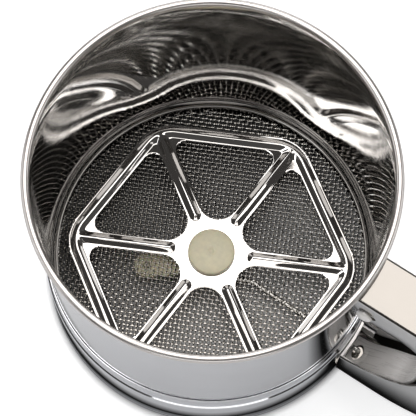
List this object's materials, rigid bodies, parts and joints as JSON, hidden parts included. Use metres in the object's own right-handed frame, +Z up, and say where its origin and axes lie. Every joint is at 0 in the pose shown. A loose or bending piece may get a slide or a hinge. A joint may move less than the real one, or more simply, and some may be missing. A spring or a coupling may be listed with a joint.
{
  "type": "flour sifter",
  "caption": "Squeeze-handle flour sifter: a straight steel cup with a woven sieve, swept by a spoked agitator wheel that a trigger in the handle turns.",
  "frame": {"origin": "bottom centre of the whole sifter, handle included, on the plane it stands on", "axes": "+Z up along the cup's axis, +X from the cup out along the handle"},
  "size_m": [0.1432, 0.1024, 0.088],
  "materials": {
    "cup_steel": "satin sheet steel, polished inside the cup",
    "polished_steel": "mirror polished",
    "sieve_wire": "drawn wire cloth",
    "plain_steel": "plain",
    "cream_nylon": "moulded, soft sheen"
  },
  "bodies": {
    "cup": {"cup_body": "cup_steel", "base_ring": "cup_steel", "sieve_clamp_ring": "polished_steel", "sieve_mesh": "sieve_wire", "upper_bush": "cream_nylon", "lower_bush": "cream_nylon", "handle": "polished_steel", "handle_top_saddle": "plain_steel", "handle_foot_saddle": "plain_steel", "pivot_pin": "polished_steel", "pivot_pin_nut": "plain_steel", "pivot_washer_left": "cream_nylon", "pivot_washer_right": "cream_nylon"},
    "trigger": {"trigger": "polished_steel", "return_spring": "plain_steel"},
    "agitator": {"agitator_wheel": "polished_steel", "hub_cap": "cream_nylon", "spindle": "plain_steel", "crank_arm": "cream_nylon", "spindle_nut": "plain_steel"},
    "link": {"link_wire": "polished_steel"}
  },
  "joints": [
    {"name": "trigger_squeeze", "type": "hinge", "parent": "cup", "child": "trigger", "pos_m": [0.0331, 0, 0.0765], "axis": [0, -1, 0], "range_deg": [0, 10], "stiffness_Nm_per_rad": 0.4, "springref_deg": -22.92},
    {"name": "agitator_turn", "type": "hinge", "parent": "cup", "child": "agitator", "pos_m": [-0.0204, 0, 0.01], "axis": [0, 0, 1], "range_deg": [0, 46.5]},
    {"name": "link_swing", "type": "hinge", "parent": "agitator", "child": "link", "pos_m": [-0.03541, -0.01352, 0.0042], "axis": [0, 0, 1], "range_deg": [-41, 0]}
  ],
  "couplings": [
    {"joint": "agitator_turn", "follows": "trigger_squeeze", "ratio": 4.635},
    {"joint": "link_swing", "follows": "trigger_squeeze", "ratio": -4.073}
  ]
}
